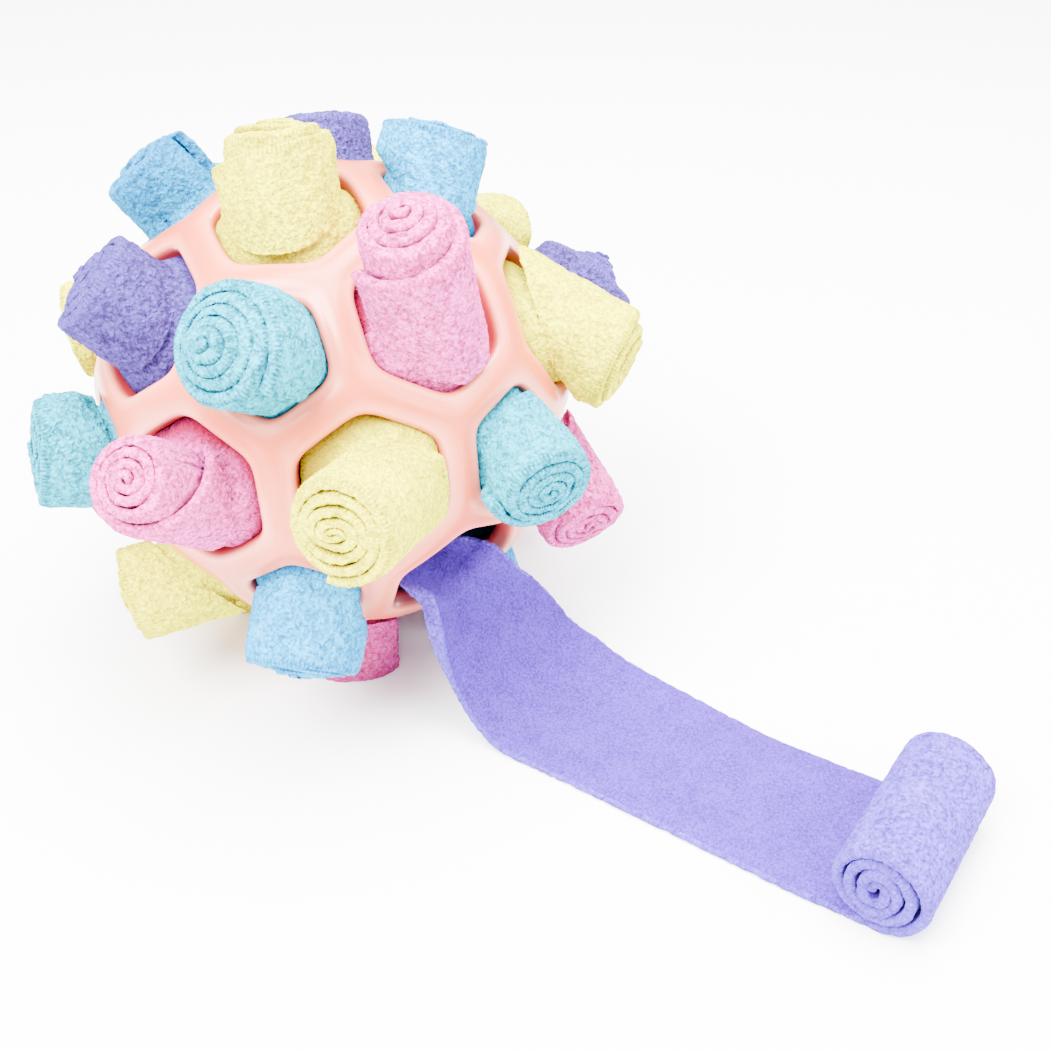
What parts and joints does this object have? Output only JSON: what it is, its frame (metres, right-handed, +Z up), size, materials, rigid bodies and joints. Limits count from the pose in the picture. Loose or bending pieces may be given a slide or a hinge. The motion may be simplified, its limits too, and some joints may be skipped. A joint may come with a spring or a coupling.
{
  "type": "snuffle ball",
  "caption": "Soft honeycomb ball with rolled fleece strips tucked into its openings and a loose strip pulled out along the floor, ending in a coil.",
  "frame": {"origin": "on the floor, in the middle of the whole object's bounding box as seen from above", "axes": "+Z up; the ball's front faces -Y and the loose strip runs off to the right, towards +X and -Y"},
  "size_m": [0.229, 0.2014, 0.1418],
  "materials": {
    "cage_rubber": "soft glossy",
    "fleece_aqua": "fleece nap",
    "fleece_blue": "fleece nap",
    "fleece_yellow": "fleece nap",
    "fleece_pink": "fleece nap",
    "fleece_purple": "fleece nap"
  },
  "bodies": {
    "root": {"rubber_cage": "cage_rubber", "loose_strip": "fleece_purple", "roll_front_aqua": "fleece_aqua", "roll_upper_right_pink": "fleece_pink", "roll_top_yellow": "fleece_yellow", "roll_upper_left_purple": "fleece_purple", "roll_lower_left_pink": "fleece_pink", "roll_lower_yellow": "fleece_yellow", "roll_right_aqua": "fleece_aqua", "roll_top_blue": "fleece_blue", "roll_upper_left_blue": "fleece_blue", "roll_left_aqua": "fleece_aqua", "roll_bottom_blue": "fleece_blue", "roll_right_yellow": "fleece_yellow", "roll_back_top_purple": "fleece_purple", "roll_left_yellow": "fleece_yellow", "roll_lower_left_yellow": "fleece_yellow", "roll_right_pink": "fleece_pink", "roll_back_right_yellow": "fleece_yellow", "roll_back_left_blue": "fleece_blue", "roll_left_pink": "fleece_pink", "roll_foot_pink": "fleece_pink", "roll_back_right_purple": "fleece_purple", "roll_back_yellow": "fleece_yellow", "roll_back_left_aqua": "fleece_aqua", "roll_foot_yellow": "fleece_yellow", "roll_foot_blue": "fleece_blue", "roll_back_right_blue": "fleece_blue", "roll_back_pink": "fleece_pink", "roll_lower_back_purple": "fleece_purple", "roll_foot_aqua": "fleece_aqua", "roll_lower_back_pink": "fleece_pink", "roll_lower_back_yellow": "fleece_yellow"}
  },
  "joints": []
}
